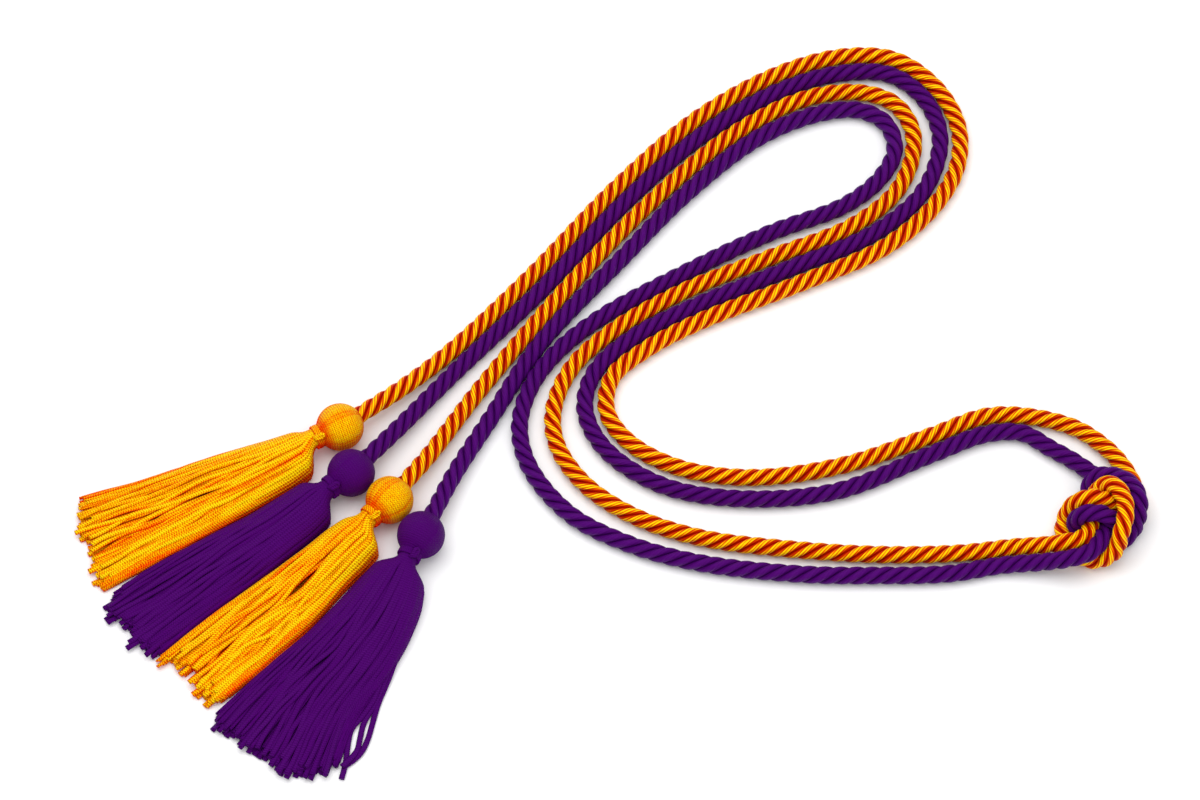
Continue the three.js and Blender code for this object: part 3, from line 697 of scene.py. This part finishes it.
def shade_ball(mesh, centre, heading):
    """Painted shade: darker in the grooves, underneath, and where the strands gather at the neck and the cord's hole.
    """
    off = corner_places(mesh) - centre
    reach = np.linalg.norm(off, axis=1)
    angle = math.radians(heading)
    neckward = off @ (math.cos(angle), math.sin(angle), 0) / reach
    groove = np.clip((reach - BALL_RADIUS + GROOVE) / GROOVE, 0, 1)
    gathered = smooth_step(neckward, *AT_NECK) + smooth_step(-neckward, *AT_HOLE)
    upper = smooth_step(off[:, 2] / BALL_RADIUS, *BALL_SIDES)
    lit = (GROOVE_LIGHT + CREST_LIGHT * groove) * (UNDERSIDE_LIGHT + (1 - UNDERSIDE_LIGHT) * upper)
    shade = lit * (1 - GATHERED_SHADE * gathered)
    mesh.attributes.new("shade", "FLOAT", "POINT").data.foreach_set("value", shade.astype(np.float32))


def node_tree(name):
    material = bpy.data.materials.new(name)
    material.use_nodes = True
    nodes, links = material.node_tree.nodes, material.node_tree.links
    shader = next(n for n in nodes if n.type == "BSDF_PRINCIPLED")
    return material, nodes, links, shader


def math_node(nodes, links, operation, first, second=None):
    node = nodes.new("ShaderNodeMath")
    node.operation = operation
    for socket, value in zip(node.inputs, (first, second)):
        if value is None:
            continue
        if isinstance(value, (int, float)):
            socket.default_value = value
        else:
            links.new(value, socket)
    return node.outputs[0]


def ramp(nodes, links, factor, stops):
    node = nodes.new("ShaderNodeValToRGB")
    node.color_ramp.elements[0].position = stops[0][0]
    node.color_ramp.elements[0].color = (*stops[0][1], 1)
    node.color_ramp.elements[1].position = stops[-1][0]
    node.color_ramp.elements[1].color = (*stops[-1][1], 1)
    for place, colour in stops[1:-1]:
        node.color_ramp.elements.new(place).color = (*colour, 1)
    links.new(factor, node.inputs["Fac"])
    return node.outputs["Color"]


def strand_inputs(nodes, links):
    """The length along the strand in millimetres, the turn around it, and the shade."""
    uv = nodes.new("ShaderNodeUVMap")
    uv.uv_map = "strand"
    split = nodes.new("ShaderNodeSeparateXYZ")
    links.new(uv.outputs[0], split.inputs[0])
    shade = nodes.new("ShaderNodeAttribute")
    shade.attribute_name = "shade"
    return split.outputs["X"], split.outputs["Y"], shade.outputs["Fac"]


def bumped(nodes, links, shader, height, distance, strength=1.0):
    bump = nodes.new("ShaderNodeBump")
    bump.inputs["Distance"].default_value = distance
    bump.inputs["Strength"].default_value = strength
    links.new(height, bump.inputs["Height"])
    links.new(bump.outputs[0], shader.inputs["Normal"])


def glossy(nodes, links, shader, shade, sheen, gloss):
    """A tinted gloss that fades out in the crevices."""
    shader.inputs["Specular Tint"].default_value = sheen
    links.new(math_node(nodes, links, "MULTIPLY", math_node(nodes, links, "POWER", shade, 2), gloss),
              shader.inputs["Specular IOR Level"])


def satin(name, sheen, gloss, stops):
    """Filament plies: fine lines along the ply, with painted shade darker where the plies meet."""
    material, nodes, links, shader = node_tree(name)
    along, around, shade = strand_inputs(nodes, links)
    place = nodes.new("ShaderNodeCombineXYZ")
    links.new(math_node(nodes, links, "MULTIPLY", along, FIBRE_DRAW), place.inputs["X"])
    twisted = math_node(nodes, links, "ADD", around, math_node(nodes, links, "MULTIPLY", along, FIBRE_TWIST))
    links.new(math_node(nodes, links, "MULTIPLY", twisted, PLY_FIBRES), place.inputs["Y"])
    fibres = nodes.new("ShaderNodeTexNoise")
    fibres.inputs["Scale"].default_value = 1
    fibres.inputs["Detail"].default_value = 2
    links.new(place.outputs[0], fibres.inputs["Vector"])
    off_middle = math_node(nodes, links, "SUBTRACT", fibres.outputs["Fac"], 0.5)
    streak = math_node(nodes, links, "MULTIPLY", off_middle, FIBRE_TONE)
    phase = math_node(nodes, links, "MULTIPLY", twisted, 2 * math.pi * PLY_THREADS)
    threads = math_node(nodes, links, "SINE", phase)
    tone = math_node(nodes, links, "ADD", streak, math_node(nodes, links, "MULTIPLY", threads, THREAD_TONE))
    links.new(ramp(nodes, links, math_node(nodes, links, "ADD", shade, tone), stops), shader.inputs["Base Color"])
    shader.inputs["Roughness"].default_value = 0.5
    glossy(nodes, links, shader, shade, sheen, gloss)
    raised = math_node(nodes, links, "MULTIPLY", threads, THREAD_RELIEF)
    bumped(nodes, links, shader, math_node(nodes, links, "ADD", fibres.outputs["Fac"], raised), SATIN_RELIEF)
    return material


def knitted(name, sheen, gloss, depth, stops):
    """Chain-knitted strand: slanted stitches with painted shade in the small holes between them, and painted shade
    from the shade attribute that darkens the sides.
    """
    material, nodes, links, shader = node_tree(name)
    along, around, shade = strand_inputs(nodes, links)
    columns = math_node(nodes, links, "MULTIPLY", around, STITCH_COLUMNS)
    slant = math_node(nodes, links, "MULTIPLY", math_node(nodes, links, "PINGPONG", columns, 1), 0.5)
    stitch = math_node(nodes, links, "ADD", math_node(nodes, links, "DIVIDE", along, STITCH_MM), slant)
    swell, bulge = (math_node(nodes, links, "ABSOLUTE", math_node(nodes, links, "SINE",
                    math_node(nodes, links, "MULTIPLY", turns, math.pi))) for turns in (stitch, columns))
    beside = math_node(nodes, links, "ADD", math_node(nodes, links, "MULTIPLY", bulge, -STITCH_FILL), 1)
    gap = math_node(nodes, links, "MULTIPLY", math_node(nodes, links, "SUBTRACT", 1, swell), beside)
    place = nodes.new("ShaderNodeTexCoord")
    grain = nodes.new("ShaderNodeTexNoise")
    grain.inputs["Scale"].default_value = GRAIN_SCALE
    grain.inputs["Detail"].default_value = 2
    links.new(place.outputs["Object"], grain.inputs["Vector"])
    rough = math_node(nodes, links, "SUBTRACT", grain.outputs["Fac"], 0.5)
    grained = math_node(nodes, links, "ADD", shade, math_node(nodes, links, "MULTIPLY", rough, GRAIN_TONE))
    tone = math_node(nodes, links, "SUBTRACT", grained, math_node(nodes, links, "MULTIPLY", gap, GAP_SHADE))
    # Painted shade in the holes: the gaps also dim the ramp's colour by depth.
    holed = nodes.new("ShaderNodeVectorMath")
    holed.operation = "SCALE"
    links.new(ramp(nodes, links, tone, stops), holed.inputs[0])
    links.new(math_node(nodes, links, "SUBTRACT", 1, math_node(nodes, links, "MULTIPLY", gap, depth)),
              holed.inputs["Scale"])
    links.new(holed.outputs[0], shader.inputs["Base Color"])
    shader.inputs["Roughness"].default_value = 0.6
    glossy(nodes, links, shader, shade, sheen, gloss)
    relief = math_node(nodes, links, "ADD", swell, math_node(nodes, links, "MULTIPLY", rough, GRAIN_RELIEF))
    bumped(nodes, links, shader, relief, KNIT_RELIEF)
    return material


MATERIALS = {
    # The satin ramps paint shade into the grooves between the plies; gold_satin's top stops paint a yellow highlight
    # along the crests.
    "gold_satin": satin("gold_satin", (1, 0.55, 0.03, 1), 0.3,
                        ((0, (0.36, 0.003, 0)), (0.6, (0.42, 0.006, 0)), (0.8, (0.56, 0.03, 0)),
                         (0.91, (0.82, 0.16, 0)), (0.98, (1, 0.52, 0.001)), (1, (1, 0.66, 0.002)))),
    "purple_satin": satin("purple_satin", (0.5, 0.1, 0.8, 1), 0.25,
                          ((0, (0.02, 0.0005, 0.045)), (0.5, (0.043, 0.001, 0.09)), (1, (0.066, 0.0018, 0.132)))),
    # gold_strand paints the strands' shaded parts a saturated red, as painted shade.
    "gold_strand": knitted("gold_strand", (1, 0.55, 0.03, 1), 0.3, 0.5,
                           ((0, (1, 0.02, 0)), (0.3, (0.98, 0.07, 0)), (0.52, (0.95, 0.22, 0)),
                            (0.75, (0.98, 0.42, 0)), (1, (1, 0.66, 0.003)))),
    # purple_strand is lighter where the shade attribute is low: painted light where the strands lie in shade.
    "purple_strand": knitted("purple_strand", (0.5, 0.1, 0.8, 1), 0.15, 0.2,
                             ((0, (0.09, 0.0016, 0.17)), (0.5, (0.062, 0.0014, 0.123)), (1, (0.062, 0.0018, 0.122)))),
}


def add_floor():
    bpy.ops.mesh.primitive_plane_add(size=FLOOR_SIZE, location=(0, 0, -FLOOR_DROP))
    floor = bpy.context.object
    floor.name = "floor"
    material, nodes, links, shader = node_tree("floor_paper")
    shader.inputs["Base Color"].default_value = (0.9, 0.9, 0.9, 1)
    shader.inputs["Roughness"].default_value = 0.9
    floor.data.materials.append(material)


def add_light(name, place, size, power):
    bpy.ops.object.light_add(type="AREA", location=place)
    light = bpy.context.object
    light.name = name
    light.data.size = size
    light.data.energy = power
    light.rotation_euler = (-Vector(place)).to_track_quat("-Z", "Y").to_euler()


def add_lights():
    for light in LIGHTS:
        add_light(*light)
    world = bpy.data.worlds.new("studio")
    world.use_nodes = True
    world.node_tree.nodes["Background"].inputs["Color"].default_value = (1, 1, 1, 1)
    world.node_tree.nodes["Background"].inputs["Strength"].default_value = ROOM_LIGHT
    bpy.context.scene.world = world
    bpy.context.scene.view_settings.view_transform = "Standard"


bpy.ops.object.select_all(action="DESELECT")
add_camera()
for each in CORDS:
    rope(**each)
for each in TASSELS:
    ball(each)
    neck_turns(each)
    strands_of(each)
add_floor()
add_lights()
